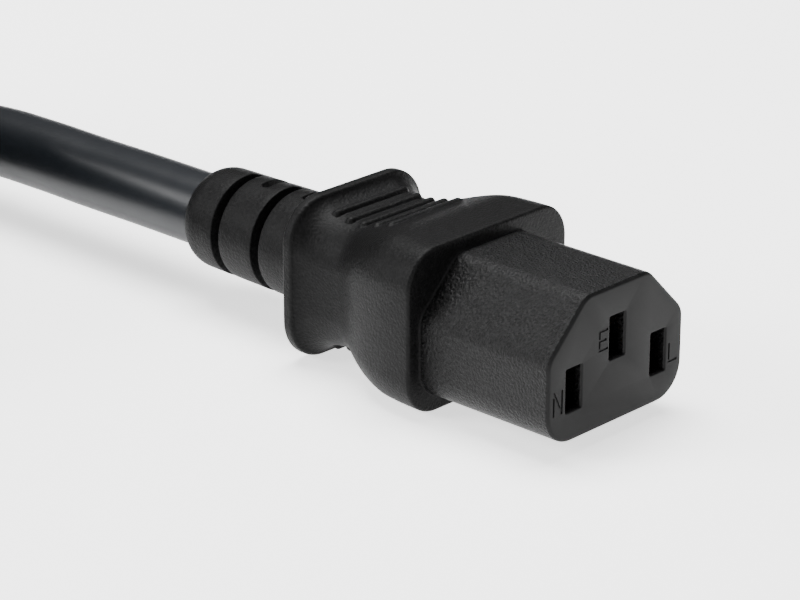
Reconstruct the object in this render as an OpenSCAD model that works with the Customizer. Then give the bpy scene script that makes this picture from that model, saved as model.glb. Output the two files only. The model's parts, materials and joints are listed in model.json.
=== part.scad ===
// C13 line connector moulded on a round three-core mains lead.
// The connector lies flat: +X is the way it plugs in, +Z is up, and the origin is under the
// middle of the connector, on the surface that it rests on.

/* [Front housing] */
// Length of the front housing, from its face to the flange
nose_l = 18.5; // [17:0.5:20]
// Width of the front housing
nose_w = 22.4; // [22:0.1:23.4]
// Height of the front housing
nose_h = 16; // [15.6:0.1:16.6]
// Size of the two chamfers that key it, along each leg
nose_chamfer = 6; // [4.5:0.25:6.5]
// Radius of the two plain corners
nose_r = 4; // [2:0.25:5]
// Radius of the four corners at the chamfers
key_r = 2.5; // [1:0.25:3]
// Depth of the housing's root inside the overmould
root_l = 2.5; // [1.5:0.25:3]
// Thickness of the front wall
front_wall = 1; // [0.8:0.1:2]

/* [Poles] */
// Distance from line to neutral
pole_pitch = 14; // [13:0.1:14.4]
// Height of earth above the middle, and of line and neutral below it
pole_rise = 2; // [1.5:0.1:2.4]
// Width of a contact slot
slot_w = 2.6; // [2.2:0.1:3]
// Height of a contact slot
slot_h = 5; // [4.4:0.1:5.6]
// Depth of the lead-in around a contact slot
lead_in = 0.2; // [0.1:0.05:0.4]
// Width of a contact chamber
chamber_w = 4.4; // [4:0.1:4.8]
// Height of a contact chamber
chamber_h = 7.2; // [6.8:0.1:7.6]
// Distance from the front wall to the mouth of a contact
mouth_gap = 2.4; // [0.8:0.1:3]
// Thickness of the contact sheet
sheet_t = 0.4; // [0.3:0.05:0.5]
// Gap between the two springs of a contact, where they grip a pin
spring_gap = 1.5; // [1:0.1:1.8]
// Clearance around a contact in its chamber
contact_clear = 0.2; // [0.15:0.05:0.3]
// Thickness of the carrier plate behind the chambers
carrier_t = 2; // [1.5:0.1:2.5]

/* [Body] */
// Width of the flange behind the front housing
flange_w = 26; // [25.4:0.2:30]
// Width of the grip plate at the back of the body
grip_w = 21.6; // [20:0.2:26]
// Height of the flange and of the grip plate, which the connector lies on
body_h = 19.4; // [19:0.2:23]
// Width at the waist
waist_w = 18.8; // [18.4:0.1:20]
// Height at the waist
waist_h = 15.4; // [14:0.1:17]
// Corner radius of the flange
flange_r = 4.5; // [3.5:0.1:5]
// Corner radius of the grip plate
grip_r = 5.2; // [4:0.1:6]
// Length from the flange's front to the waist
shoulder_l = 15; // [13.5:0.5:18]
// Length over which the body rises from the waist to its full height
rise_l = 10; // [8:0.5:13]
// Length of the hollow from the waist to the grip plate
throat_l = 5.4; // [4:0.2:7]
// Thickness of the grip plate's rim
rim_t = 1.4; // [1:0.1:2.5]
// Rounding of the outer edges
edge_r = 0.4; // [0.2:0.1:0.6]

/* [Grip ribs] */
// Number of ribs on the top, and on the underside
rib_n = 5; // [3:1:6]
// Distance from rib to rib
rib_pitch = 2.1; // [1.8:0.1:2.2]
// Width of a rib at its widest
rib_w = 1.1; // [0.8:0.1:1.4]
// Length of a rib
rib_l = 12; // [8:0.5:12.5]
// How far a rib stands out
rib_proud = 0.4; // [0.2:0.05:0.5]

/* [Strain relief] */
// Length of the strain relief, from the grip plate to its end
relief_l = 24.7; // [24:0.1:32]
// Diameter of the strain relief at the grip plate
relief_d1 = 13; // [12.6:0.1:14.5]
// Diameter of the strain relief at its end collar
relief_d2 = 12.4; // [12:0.1:13]
// Length of the plain collar at the end
collar_l = 8; // [7:0.25:9]
// Number of slots, cut from alternate sides
relief_slots = 5; // [3:1:5]
// Width of each slot along the cable
relief_slot_w = 1.3; // [0.9:0.1:1.6]
// Distance from slot to slot
relief_pitch = 3.4; // [2.8:0.1:3.5]
// How far each slot reaches past the middle
slot_reach = 1.4; // [0.8:0.1:2]
// Wall left on the cable at the bottom of a slot
sleeve_t = 0.45; // [0.3:0.05:0.8]

/* [Cable] */
// Diameter of the cable
cable_d = 9; // [8.8:0.1:9.4]
// Diameter of an insulated core
core_d = 3.4; // [3:0.1:3.5]
// Diameter of a stranded conductor
conductor_d = 1.9; // [1.5:0.1:2]
// Diameter of a filler cord between the cores
filler_d = 1.5; // [1.2:0.1:1.6]
// Clearance between pieces inside the cable
core_clear = 0.05; // [0.03:0.01:0.08]
// Wall of the contact's crimp on the insulation
crimp_t = 0.4; // [0.3:0.05:0.5]

/* [Supply plug] */
// Width of the plug's body
plug_w = 27; // [25:0.5:32]
// Height of the plug's body
plug_h = 22; // [21:0.5:28]
// Length of the plug's body, from its face to its neck
plug_l = 34; // [28:1:40]
// Length of the plug's neck
plug_neck_l = 14; // [10:1:18]
// Diameter of the plug's neck
plug_neck_d = 12.5; // [12:0.1:14]
// Distance between the flat blades
blade_pitch = 12.7; // [12:0.1:13]
// Height of a flat blade
blade_h = 6.3; // [6:0.1:6.6]
// Thickness of a flat blade
blade_t = 1.5; // [1.3:0.1:1.7]
// Length of a flat blade
blade_l = 17; // [15:0.5:18]
// Diameter of the round earth pin
earth_pin_d = 4.8; // [4.5:0.1:5]
// Length of the round earth pin
earth_pin_l = 20; // [18:0.5:21]
// Height of the earth pin above the blades
earth_pin_rise = 11.9; // [11.5:0.1:12]

/* [Coil and tie] */
// Thickness of the tie around the coil
tie_t = 0.8; // [0.6:0.1:1.2]
// Width of the tie
tie_w = 10; // [6:1:16]
// Clearance between the tie and the sides of the coil
tie_clear = 0.5; // [0.45:0.05:0.8]

/* [Hidden] */
$fn = 64;

cut = 1;                                        // how far a cutting shape runs past a face
black = [0.13, 0.13, 0.135];
cable_black = [0.19, 0.2, 0.22];
brass = [0.8, 0.66, 0.36];
copper = [0.78, 0.45, 0.28];
nylon = [0.75, 0.73, 0.68];

// Places along the connector, as distances behind the front face
root_end = nose_l + root_l;
carrier_end = root_end + carrier_t;
waist_at = nose_l + shoulder_l;
rim_front = waist_at + throat_l;
rim_back = rim_front + rim_t;
overall_l = rim_back + relief_l;
face_x = overall_l / 2;
axis_z = body_h / 2;

// Contacts
web_inset = 2.4;
barrel_proud = 0.4;
crimp_gap = 1.2;
crimp_l = 2.8;
web_at = root_end - web_inset;                  // back of the spring box
mouth_at = front_wall + mouth_gap;
barrel_end = carrier_end + barrel_proud;        // end of the crimp on the strands
crimp_from = barrel_end + crimp_gap;            // crimp on the insulation
crimp_end = crimp_from + crimp_l;
straight_l = 6;                                 // straight part of the springs
grip_at = mouth_at + 3.2;                       // where the springs grip a pin
grip_l = 1.4;                                   // half of the bow that grips
grip_bow = 0.12;
barrel_d = conductor_d + 2 * sheet_t;
crimp_d = core_d + 2 * crimp_t;
spring_h = chamber_h - 4 * contact_clear;
spring_y = chamber_w / 2 - contact_clear - sheet_t / 2;
pinch_y = spring_gap / 2 + sheet_t / 2;

// Cores, packed in a triangle inside the jacket
pack_r = (core_d + core_clear) / sqrt(3);
jacket_in_d = 2 * pack_r + core_d + 2 * core_clear;
core_lead = 0.6;                                // insulation ahead of its crimp
core_from = crimp_from - core_lead;
bend_from = crimp_end + core_clear;
bend_l = 10;                                    // stretch in which the cores come together
bend_steps = 8;
core_sides = 12;
bend_end = bend_from + bend_l;
jacket_from = bend_end + crimp_t;
filler_r = jacket_in_d / 2 - filler_d / 2;
POLES = [
    [pole_pitch / 2, -pole_rise, -30],
    [-pole_pitch / 2, -pole_rise, 210],
    [0, pole_rise, 90]
];
LINE = POLES[0];
NEUTRAL = POLES[1];
EARTH = POLES[2];

// Inner mould
mould_wall = 1;
mould_w = pole_pitch + crimp_d + mould_wall;
mould_h = 2 * (pole_rise + mould_wall) + crimp_d;
mould_back_w = jacket_in_d + 3 * mould_wall;

// Loft; the two pulls are the shares of the shoulder where its side leaves the waist and the flange
waist_pull = 0.22;
flange_pull = 0.74;
last_rib = 3.2;                                 // from the waist back to the last rib
collar_round_l = 3.2;
lip_clear = 0.1;
corner_steps = 8;
throat_steps = 7;
shoulder_steps = 14;

// Cable outside the connector; turns of the coil lie a diameter apart, on the tie
coil_r = 50;
lead_y = 0;
coil_x = -104;
coil_y = lead_y - coil_r - cable_d;
layer_rise = cable_d * sin(60);
coil_low = tie_t;
coil_mid = coil_low + cable_d;
coil_high = coil_mid + layer_rise;
tail_z = coil_high + cable_d / 2;                // the tail lies on the coil, and so does the plug
tail_bend = 36;
tail_turn = [coil_x - coil_r + tail_bend, coil_y - coil_r + tail_bend];
tie_angle = -35;
cord_sides = 10;
plug_x = tail_turn[0] + 4;
plug_y = coil_y - coil_r;
plug_z = coil_high + plug_h / 2;

// Supply plug, as distances from its neck's end and from its cable's axis
plug_face = plug_neck_l + plug_l;
plug_r = 6;
plug_rim = 1.2;
bridge_t = 6;
shank = 5;
neck_slot = [1.3, 3, 1.6];                      // width, height and depth
neck_slot_from = 3;
neck_slot_pitch = 3.6;
plug_flare = 0.6;                               // share of the body over which it widens
tip_l = 1.5;
tip_cut = 1;
blade_hole_d = 3.2;
blade_hole_at = 0.7;                            // share of the blade's length
blade_z = (blade_h - earth_pin_d) / 4 - earth_pin_rise / 2;

LEAD_ROUTE = [
    [-face_x, lead_y, axis_z], [-42, lead_y, axis_z], [-52, lead_y, 9.6],
    [-62, lead_y, 9.1], [-71.3, lead_y, 8.3]
];
TAIL_ROUTE = concat(
    [for (a = [100:16:180]) [coil_x + coil_r * cos(a), coil_y + coil_r * sin(a), tail_z]],
    [for (a = [180:15:270])
        [tail_turn[0] + tail_bend * cos(a), tail_turn[1] + tail_bend * sin(a),
            mix(tail_z, plug_z, smooth(min(1, (a - 180) / 75)))]],
    [[plug_x, plug_y, plug_z]]
);

function mix(a, b, t) = a + (b - a) * t;
function smooth(t) = t * t * (3 - 2 * t);
function bezier(a, b, c, d, t) =
    a * pow(1 - t, 3) + 3 * b * t * pow(1 - t, 2) + 3 * c * t * t * (1 - t) + d * pow(t, 3);
function unit(v) = v / norm(v);

// ---------- placing ----------

// Draws in the connector's own frame: x = 0 at the front face, z = 0 on the cable's axis
module in_connector() {
    translate([face_x, 0, axis_z]) children();
}

// Draws in the plug's own frame: x = 0 at its neck's end, z = 0 on the cable's axis
module in_plug() {
    translate([plug_x, plug_y, plug_z]) children();
}

// An extrusion of a [y, z] outline between two distances behind the front face
module along_x(near, far) {
    translate([-far, 0, 0]) rotate([90, 0, 90]) linear_extrude(far - near) children();
}

// A round bar on the x axis between two distances behind the front face
module round_bar(near, far, d) {
    translate([-far, 0, 0]) rotate([0, 90, 0]) cylinder(d = d, h = far - near);
}

// A box on the x axis between two distances behind the front face
module block(near, far, w, h) {
    translate([-far, -w / 2, -h / 2]) cube([far - near, w, h]);
}

module at_pole(pole) {
    translate([0, pole[0], pole[1]]) children();
}

// ---------- outlines ----------

// Arc that rounds corner p between the corners before and after it
function corner_arc(before, p, after, r, steps) =
    let (
        u = unit(before - p),
        v = unit(after - p),
        half = acos(u * v) / 2,
        c = p + unit(u + v) * r / sin(half),
        from = p + u * r / tan(half) - c,
        to = p + v * r / tan(half) - c,
        a0 = atan2(from[1], from[0]),
        turn = (atan2(to[1], to[0]) - a0 + 540) % 360 - 180
    )
    [for (i = [0:steps]) c + r * [cos(a0 + turn * i / steps), sin(a0 + turn * i / steps)]];

function rounded(corners, radii, steps) =
    let (n = len(corners))
    [for (i = [0:n - 1])
        each corner_arc(corners[(i + n - 1) % n], corners[i], corners[(i + 1) % n], radii[i], steps)];

// The keyed outline of the front housing
module nose_outline() {
    w = nose_w / 2;
    h = nose_h / 2;
    polygon(rounded(
        [[-w, -h], [w, -h], [w, h - nose_chamfer], [w - nose_chamfer, h],
            [nose_chamfer - w, h], [-w, h - nose_chamfer]],
        [nose_r, nose_r, key_r, key_r, key_r, key_r],
        corner_steps));
}

// A strip of sheet seen on edge: a line of points given a thickness
function strip(points, t) =
    let (
        n = len(points),
        side = [for (i = [0:n - 1])
            let (d = unit(points[min(i + 1, n - 1)] - points[max(i - 1, 0)])) [-d[1], d[0]] * t / 2]
    )
    concat(points + side, [for (i = [n - 1:-1:0]) points[i] - side[i]]);

// ---------- lofts ----------

// Rounded rectangle across the x axis, w by h with corner radius r, at x
function section(x, w, h, r) =
    [for (q = [0:3]) for (i = [0:corner_steps])
        let (a = 90 * (q + i / corner_steps), y = q == 0 || q == 3 ? 1 : -1, z = q < 2 ? 1 : -1)
        [x, y * (w / 2 - r) + r * cos(a), z * (h / 2 - r) + r * sin(a)]];

// Skin over rings of points; the rings follow each other along +x and turn from +y to +z
module skin(rings) {
    n = len(rings[0]);
    last = len(rings) - 1;
    sides = [for (i = [0:last - 1]) for (j = [0:n - 1])
        let (a = i * n + j, b = i * n + (j + 1) % n) each [[a, a + n, b], [b, a + n, b + n]]];
    polyhedron(
        points = [for (ring = rings) each ring],
        faces = concat(
            [[for (j = [0:n - 1]) j]],
            sides,
            [[for (j = [n - 1:-1:0]) last * n + j]]),
        convexity = 6);
}

// A round tube swept along a route; each ring stands square to the line through its neighbours
module cord(route, d, sides) {
    last = len(route) - 1;
    skin([for (i = [0:last])
        let (
            t = unit(route[min(i + 1, last)] - route[max(i - 1, 0)]),
            side = unit(cross([0, 0, 1], t)),
            up = cross(t, side)
        )
        [for (k = [0:sides - 1])
            let (a = 360 * k / sides)
            route[i] + d / 2 * (cos(a) * side + sin(a) * up)]]);
}

// Half of the turns of an edge rounding: [distance from the end, inset]
EDGE = [for (a = [0:30:90]) edge_r * [1 - sin(a), 1 - cos(a)]];

function body_w(t) = mix(waist_w, flange_w, smooth(t));
function shoulder_x(t) =
    -bezier(waist_at, waist_at - shoulder_l * waist_pull, nose_l + shoulder_l * flange_pull,
        nose_l + edge_r, t);
function body_height(x) = mix(waist_h, body_h, smooth(min(1, (x + waist_at) / rise_l)));
function body_r(x) = mix(grip_r, flange_r, (x + rim_front) / (rim_front - nose_l));

// The body from the grip plate's back to the flange's front
function body_sections() = concat(
    [for (i = [3:-1:0])
        section(-rim_back + EDGE[i][0], grip_w - 2 * EDGE[i][1], body_h - 2 * EDGE[i][1],
            grip_r - EDGE[i][1])],
    [for (i = [0:throat_steps])
        let (a = 90 * i / throat_steps, x = -rim_front + throat_l * (1 - cos(a)))
        section(x, mix(grip_w, waist_w, sin(a)), mix(body_h, waist_h, sin(a)), body_r(x))],
    [for (i = [1:shoulder_steps])
        let (t = i / shoulder_steps, x = shoulder_x(t))
        section(x, body_w(t), body_height(x), body_r(x))],
    [for (i = [1:3])
        section(-nose_l - EDGE[i][0], flange_w - 2 * EDGE[i][1], body_h - 2 * EDGE[i][1],
            flange_r - EDGE[i][1])]
);

// ---------- front housing ----------

module slot_lead_in() {
    wide = slot_w + 2 * lead_in;
    tall = slot_h + 2 * lead_in;
    skin([
        section(-lead_in, slot_w, slot_h, lead_in),
        section(0, wide, tall, 2 * lead_in),
        section(cut, wide, tall, 2 * lead_in)
    ]);
}

module nose_housing() {
    color(black) in_connector() difference() {
        along_x(0, root_end) nose_outline();
        for (pole = POLES) at_pole(pole) {
            block(front_wall, root_end + cut, chamber_w, chamber_h);
            block(-cut, front_wall + cut, slot_w, slot_h);
            slot_lead_in();
        }
    }
}

module contact_carrier() {
    color(nylon) in_connector() difference() {
        union() {
            along_x(root_end, carrier_end) nose_outline();
            for (pole = POLES)
                at_pole(pole) block(web_at + contact_clear, root_end + cut,
                    chamber_w - 2 * contact_clear, chamber_h - 2 * contact_clear);
        }
        for (pole = POLES)
            at_pole(pole) round_bar(web_at - cut, carrier_end + cut, barrel_d + contact_clear);
    }
}

// ---------- contacts and cores ----------

// Two springs folded from one sheet: back web, straight wall, pinch and flared mouth
module spring_box() {
    half = [
        [-web_at + sheet_t / 2, spring_y], [-web_at + straight_l, spring_y],
        [-grip_at - grip_l, pinch_y + grip_bow], [-grip_at, pinch_y],
        [-grip_at + grip_l, pinch_y + grip_bow], [-mouth_at, spring_y]
    ];
    for (y = [-1, 1])
        scale([1, y, 1]) translate([0, 0, -spring_h / 2])
            linear_extrude(spring_h) polygon(strip(half, sheet_t));
    block(web_at - sheet_t, web_at, 2 * spring_y + sheet_t, spring_h);
}

module contact(pole) {
    color(brass) in_connector() at_pole(pole) difference() {
        union() {
            spring_box();
            round_bar(web_at - sheet_t / 2, barrel_end, barrel_d);
            round_bar(crimp_from, crimp_end, crimp_d);
            // tongue of sheet that joins the two crimps
            translate([-crimp_from - sheet_t, -barrel_d / 2, -barrel_d / 2])
                cube([crimp_from + sheet_t - carrier_end, barrel_d, sheet_t]);
        }
        round_bar(web_at + sheet_t, barrel_end + cut, conductor_d);
        round_bar(core_from, crimp_end + cut, core_d);
    }
}

module conductor(pole) {
    color(copper) in_connector() at_pole(pole) round_bar(web_at + sheet_t, core_from, conductor_d);
}

// Route of one core from its crimp, bending in to its place in the cable, and on to the end
function core_route(pole) =
    let (from = [pole[0], pole[1]], to = pack_r * [cos(pole[2]), sin(pole[2])])
    concat(
        [[-overall_l, to[0], to[1]]],
        [for (i = [bend_steps:-1:0])
            let (t = i / bend_steps, at = mix(from, to, smooth(t)))
            [-bend_from - t * bend_l, at[0], at[1]]],
        [[-core_from, from[0], from[1]]]);

module core(pole, shade) {
    color(shade) in_connector() cord(core_route(pole), core_d, core_sides);
}

module inner_mould_block() {
    translate([0, 0, -mould_h / 2]) linear_extrude(mould_h)
        polygon([
            [-carrier_end, -mould_w / 2], [-carrier_end, mould_w / 2],
            [-crimp_end, mould_w / 2], [-jacket_from, mould_back_w / 2],
            [-jacket_from, -mould_back_w / 2], [-crimp_end, -mould_w / 2]
        ]);
}

module inner_mould() {
    color(nylon) in_connector() difference() {
        inner_mould_block();
        for (pole = POLES) {
            at_pole(pole) round_bar(carrier_end - cut, crimp_end, crimp_d);
            cord(core_route(pole), core_d, core_sides);
        }
    }
}

module cable_jacket() {
    color(cable_black) in_connector() difference() {
        round_bar(jacket_from, overall_l, cable_d);
        round_bar(jacket_from - cut, overall_l + cut, jacket_in_d);
    }
}

module filler_cords() {
    color("ivory") in_connector()
        for (a = [30, 150, 270])
            at_pole(filler_r * [cos(a), sin(a)]) round_bar(jacket_from, overall_l, filler_d);
}

// ---------- overmould ----------

// Height of the body's flat top above the axis, at a distance behind the front face
function top_at(back) =
    back < waist_at ? body_height(-back) / 2
        : mix(waist_h, body_h, 1 - sqrt(1 - pow(min(1, (back - waist_at) / throat_l), 2))) / 2;

// One rib across the body, sunk so that only its crown stands out
module rib(back) {
    r = rib_w / 2;
    span = rib_l / 2 - r;
    translate([-back, 0, top_at(back) + rib_proud - r]) {
        rotate([90, 0, 0]) cylinder(r = r, h = 2 * span, center = true, $fn = 24);
        for (y = [-span, span]) translate([0, y, 0]) sphere(r = r, $fn = 24);
    }
}

module grip_ribs() {
    for (side = [0, 180]) rotate([side, 0, 0])
        for (i = [0:rib_n - 1]) rib(waist_at + last_rib - i * rib_pitch);
}

// Profile of the strain relief, [radius, distance behind the front face], with a rounded end
module relief_body() {
    lip = relief_d2 / 2 - cable_d / 2 - lip_clear;
    rotate([0, -90, 0]) rotate_extrude()
        polygon(concat(
            [[0, rim_front], [relief_d1 / 2, rim_front], [relief_d1 / 2, rim_back]],
            [for (a = [0:15:90])
                [relief_d2 / 2 - lip * (1 - cos(a)), overall_l - collar_round_l * (1 - sin(a))]],
            [[0, overall_l]]));
}

// One slot, cut from the +y side to just past the middle, down to the sleeve on the cable
module relief_slot(back) {
    far = relief_d1;
    sleeve = cable_d + 2 * sleeve_t;
    end_r = relief_slot_w / 2;
    difference() {
        translate([-back, 0, -far]) linear_extrude(2 * far) {
            translate([-end_r, end_r - slot_reach]) square([relief_slot_w, far]);
            translate([0, end_r - slot_reach]) circle(r = end_r, $fn = 32);
        }
        round_bar(back - far, back + far, sleeve);
        translate([-back - far, -far, -sleeve / 2]) cube([2 * far, far, sleeve]);
    }
}

module overmould() {
    color(black) in_connector() difference() {
        union() {
            skin(body_sections());
            grip_ribs();
            relief_body();
        }
        for (i = [0:relief_slots - 1]) rotate([i % 2 == 0 ? 180 : 0, 0, 0])
            relief_slot(overall_l - collar_l - relief_slot_w / 2 - i * relief_pitch);
        along_x(nose_l - cut, carrier_end) nose_outline();
        inner_mould_block();
        round_bar(jacket_from, overall_l + cut, cable_d);
    }
}

// ---------- cable outside ----------

module cable_lead() {
    color(cable_black) cord([for (i = [len(LEAD_ROUTE) - 1:-1:0]) LEAD_ROUTE[i]], cable_d, cord_sides);
}

module cable_tail() {
    color(cable_black) cord(TAIL_ROUTE, cable_d, cord_sides);
}

// Outline of the wound coil, three turns below and two above in the hollows between them,
// grown by wide at its sides and by tall at its top and bottom
function coil_outline(wide, tall) =
    let (low = 1.5 * cable_d + wide, high = cable_d + wide)
    [
        [coil_r - low, coil_low - tall], [coil_r + low, coil_low - tall],
        [coil_r + low, coil_mid], [coil_r + high, coil_high + tall],
        [coil_r - high, coil_high + tall], [coil_r - low, coil_mid]
    ];

module cable_coil() {
    color(cable_black) translate([coil_x, coil_y, 0]) rotate_extrude($fn = 96)
        polygon(coil_outline(0, 0));
}

module coil_tie() {
    color(black) translate([coil_x, coil_y, 0]) rotate(tie_angle)
        rotate([90, 0, 0]) translate([0, 0, -tie_w / 2]) linear_extrude(tie_w) difference() {
            polygon(coil_outline(tie_clear + tie_t, tie_t));
            polygon(coil_outline(tie_clear, 0));
        }
}

// ---------- supply plug ----------

function plug_section(at, t) =
    section(at, mix(plug_neck_d, plug_w, t), mix(plug_neck_d, plug_h, t),
        mix(plug_neck_d / 2.05, plug_r, t));

module plug_overmould() {
    color(black) in_plug() difference() {
        union() {
            skin(concat(
                [for (t = [0:1 / 8:1]) plug_section(plug_neck_l + t * plug_flare * plug_l, smooth(t))],
                [plug_section(plug_face - edge_r, 1)],
                [section(plug_face, plug_w - 2 * edge_r, plug_h - 2 * edge_r, plug_r - edge_r)]));
            rotate([0, 90, 0]) cylinder(d = plug_neck_d, h = plug_neck_l + neck_slot_from);
        }
        for (i = [0:2]) translate([neck_slot_from + i * neck_slot_pitch, 0, 0])
            rotate([i % 2 * 90, 0, 0]) neck_slots();
        translate([plug_face - bridge_t, 0, 0]) bridge_block(bridge_t + cut);
    }
}

// Two slots across the plug's neck, one on each side
module neck_slots() {
    for (side = [0, 180]) rotate([side, 0, 0])
        translate([0, -plug_neck_d / 2, plug_neck_d / 2 - neck_slot[2]])
            cube([neck_slot[0], plug_neck_d, neck_slot[1]]);
}

module bridge_block(depth) {
    inset = 2 * plug_rim;
    rotate([90, 0, 90]) linear_extrude(depth)
        polygon([for (p = section(0, plug_w - inset, plug_h - inset, plug_r - plug_rim))
            [p[1], p[2]]]);
}

module plug_bridge() {
    color(black) in_plug() difference() {
        translate([plug_face - bridge_t, 0, 0]) bridge_block(bridge_t);
        for (y = [-1, 1]) translate([plug_face - shank, y * blade_pitch / 2, blade_z])
            translate([0, -blade_t / 2, -blade_h / 2]) cube([shank + cut, blade_t, blade_h]);
        translate([plug_face - shank, 0, blade_z + earth_pin_rise]) rotate([0, 90, 0])
            cylinder(d = earth_pin_d, h = shank + cut);
    }
}

// A flat blade with a tapered tip and the round hole that a socket's spring drops into
module flat_blade(y) {
    color(brass) in_plug() translate([plug_face - shank, y, blade_z]) difference() {
        rotate([90, 0, 0]) translate([0, 0, -blade_t / 2]) linear_extrude(blade_t)
            polygon([
                [0, -blade_h / 2], [shank + blade_l - tip_l, -blade_h / 2],
                [shank + blade_l, tip_cut - blade_h / 2], [shank + blade_l, blade_h / 2 - tip_cut],
                [shank + blade_l - tip_l, blade_h / 2], [0, blade_h / 2]
            ]);
        translate([shank + blade_l * blade_hole_at, blade_t, 0]) rotate([90, 0, 0])
            cylinder(d = blade_hole_d, h = 2 * blade_t, $fn = 32);
    }
}

module plug_earth_pin() {
    r = earth_pin_d / 2;
    color(brass) in_plug() translate([plug_face - shank, 0, blade_z + earth_pin_rise])
        rotate([0, 90, 0]) {
            cylinder(r = r, h = shank + earth_pin_l - r);
            translate([0, 0, shank + earth_pin_l - r]) sphere(r = r);
        }
}

module line_contact() contact(LINE);
module neutral_contact() contact(NEUTRAL);
module earth_contact() contact(EARTH);
module line_conductor() conductor(LINE);
module neutral_conductor() conductor(NEUTRAL);
module earth_conductor() conductor(EARTH);
module line_core() core(LINE, [0.1, 0.1, 0.1]);
module neutral_core() core(NEUTRAL, [0.9, 0.9, 0.88]);
module earth_core() core(EARTH, [0.1, 0.5, 0.25]);
module plug_line_blade() flat_blade(-blade_pitch / 2);
module plug_neutral_blade() flat_blade(blade_pitch / 2);

nose_housing();
contact_carrier();
line_contact();
neutral_contact();
earth_contact();
line_conductor();
neutral_conductor();
earth_conductor();
line_core();
neutral_core();
earth_core();
inner_mould();
cable_jacket();
filler_cords();
overmould();
cable_lead();
cable_coil();
cable_tail();
coil_tie();
plug_overmould();
plug_bridge();
plug_line_blade();
plug_neutral_blade();
plug_earth_pin();
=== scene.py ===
"""Looks of a C13 line connector moulded on a mains lead: skins, cable, plug, finishes and studio."""

import json
import math

import bmesh
import bpy
import numpy as np
from bpy.props import FloatProperty, FloatVectorProperty, IntProperty, PointerProperty
from mathutils import Matrix, Vector


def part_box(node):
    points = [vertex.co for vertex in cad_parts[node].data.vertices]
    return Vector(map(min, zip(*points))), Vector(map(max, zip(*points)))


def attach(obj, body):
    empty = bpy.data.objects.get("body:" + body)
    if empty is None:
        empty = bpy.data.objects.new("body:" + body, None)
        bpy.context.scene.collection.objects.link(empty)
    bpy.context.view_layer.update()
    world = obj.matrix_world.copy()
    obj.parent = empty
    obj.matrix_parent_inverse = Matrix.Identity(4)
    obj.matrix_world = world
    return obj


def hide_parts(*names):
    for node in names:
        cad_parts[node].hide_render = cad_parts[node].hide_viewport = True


bl_info = {
    "name": "C13 connector",
    "version": (1, 0, 0),
    "blender": (4, 5, 0),
    "location": "View3D > Sidebar > C13",
    "description": "Skins, cable, plug, finishes and studio for a moulded C13 line connector",
    "category": "Object",
}

MM = 0.001
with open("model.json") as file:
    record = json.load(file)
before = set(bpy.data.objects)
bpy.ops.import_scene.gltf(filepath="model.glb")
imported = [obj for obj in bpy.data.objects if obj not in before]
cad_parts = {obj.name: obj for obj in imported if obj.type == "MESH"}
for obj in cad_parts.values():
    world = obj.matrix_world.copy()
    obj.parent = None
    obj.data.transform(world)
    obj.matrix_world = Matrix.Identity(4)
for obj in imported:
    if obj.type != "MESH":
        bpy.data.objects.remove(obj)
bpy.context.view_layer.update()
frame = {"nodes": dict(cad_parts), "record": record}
NODES = frame["nodes"]
MOUNTS = {mount["name"]: Vector(mount["pos_m"]) for mount in frame["record"]["mounts"]}
NOSE_LOW, NOSE_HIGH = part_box("nose_housing")
BODY_LOW, BODY_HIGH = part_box("overmould")
JACKET_LOW, JACKET_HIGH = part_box("cable_jacket")
PLUG_LOW, PLUG_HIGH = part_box("plug_overmould")
PLUG_MIDDLE = (PLUG_LOW + PLUG_HIGH) / 2
COIL_LOW, COIL_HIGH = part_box("cable_coil")
FACE_X = NOSE_HIGH.x
AXIS_Z = (NOSE_LOW.z + NOSE_HIGH.z) / 2
QUARTER = 64


def length(name, description, default):
    """A size in metres, shown as a length."""
    return FloatProperty(name=name, description=description, default=default, min=0.0,
                         unit="LENGTH", precision=5)


def colour(name, description, default):
    """A colour in linear light."""
    return FloatVectorProperty(name=name, description=description, default=default, size=3,
                               min=0.0, max=1.0, subtype="COLOR")


def share(name, description, default):
    """A share from 0 to 1."""
    return FloatProperty(name=name, description=description, default=default, min=0.0, max=1.0,
                         subtype="FACTOR")


class C13Housing(bpy.types.PropertyGroup):
    width: length("Width", "Width of the front housing", NOSE_HIGH.y - NOSE_LOW.y)
    height: length("Height", "Height of the front housing", NOSE_HIGH.z - NOSE_LOW.z)
    reach: length("Reach", "From the flange to the front face", NOSE_HIGH.x - BODY_HIGH.x)
    root: length("Root", "Depth of the root inside the overmould", BODY_HIGH.x - NOSE_LOW.x)
    chamfer: length("Key chamfer", "Leg of the two chamfers that key the housing", 6 * MM)
    corner_r: length("Corner radius", "Radius of the two plain corners", 4 * MM)
    key_r: length("Key radius", "Radius of the corners at the chamfers", 2.5 * MM)
    rim_r: length("Rim radius", "Rounding of the front face's rim", 0.45 * MM)
    wall: length("Front wall", "Thickness of the front wall", 1 * MM)
    slot_w: length("Slot width", "Width of a contact slot", 2.6 * MM)
    slot_h: length("Slot height", "Height of a contact slot", 5 * MM)
    lead_in: length("Lead-in", "Depth of the lead-in around a slot", 0.2 * MM)
    chamber_w: length("Chamber width", "Width of a contact chamber", 4.4 * MM)
    chamber_h: length("Chamber height", "Height of a contact chamber", 7.2 * MM)
    mark_depth: length("Mark depth", "Depth of the pole marks", 0.12 * MM)
    mark_line: length("Mark line", "Width of the pole marks' lines", 0.28 * MM)


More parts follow.
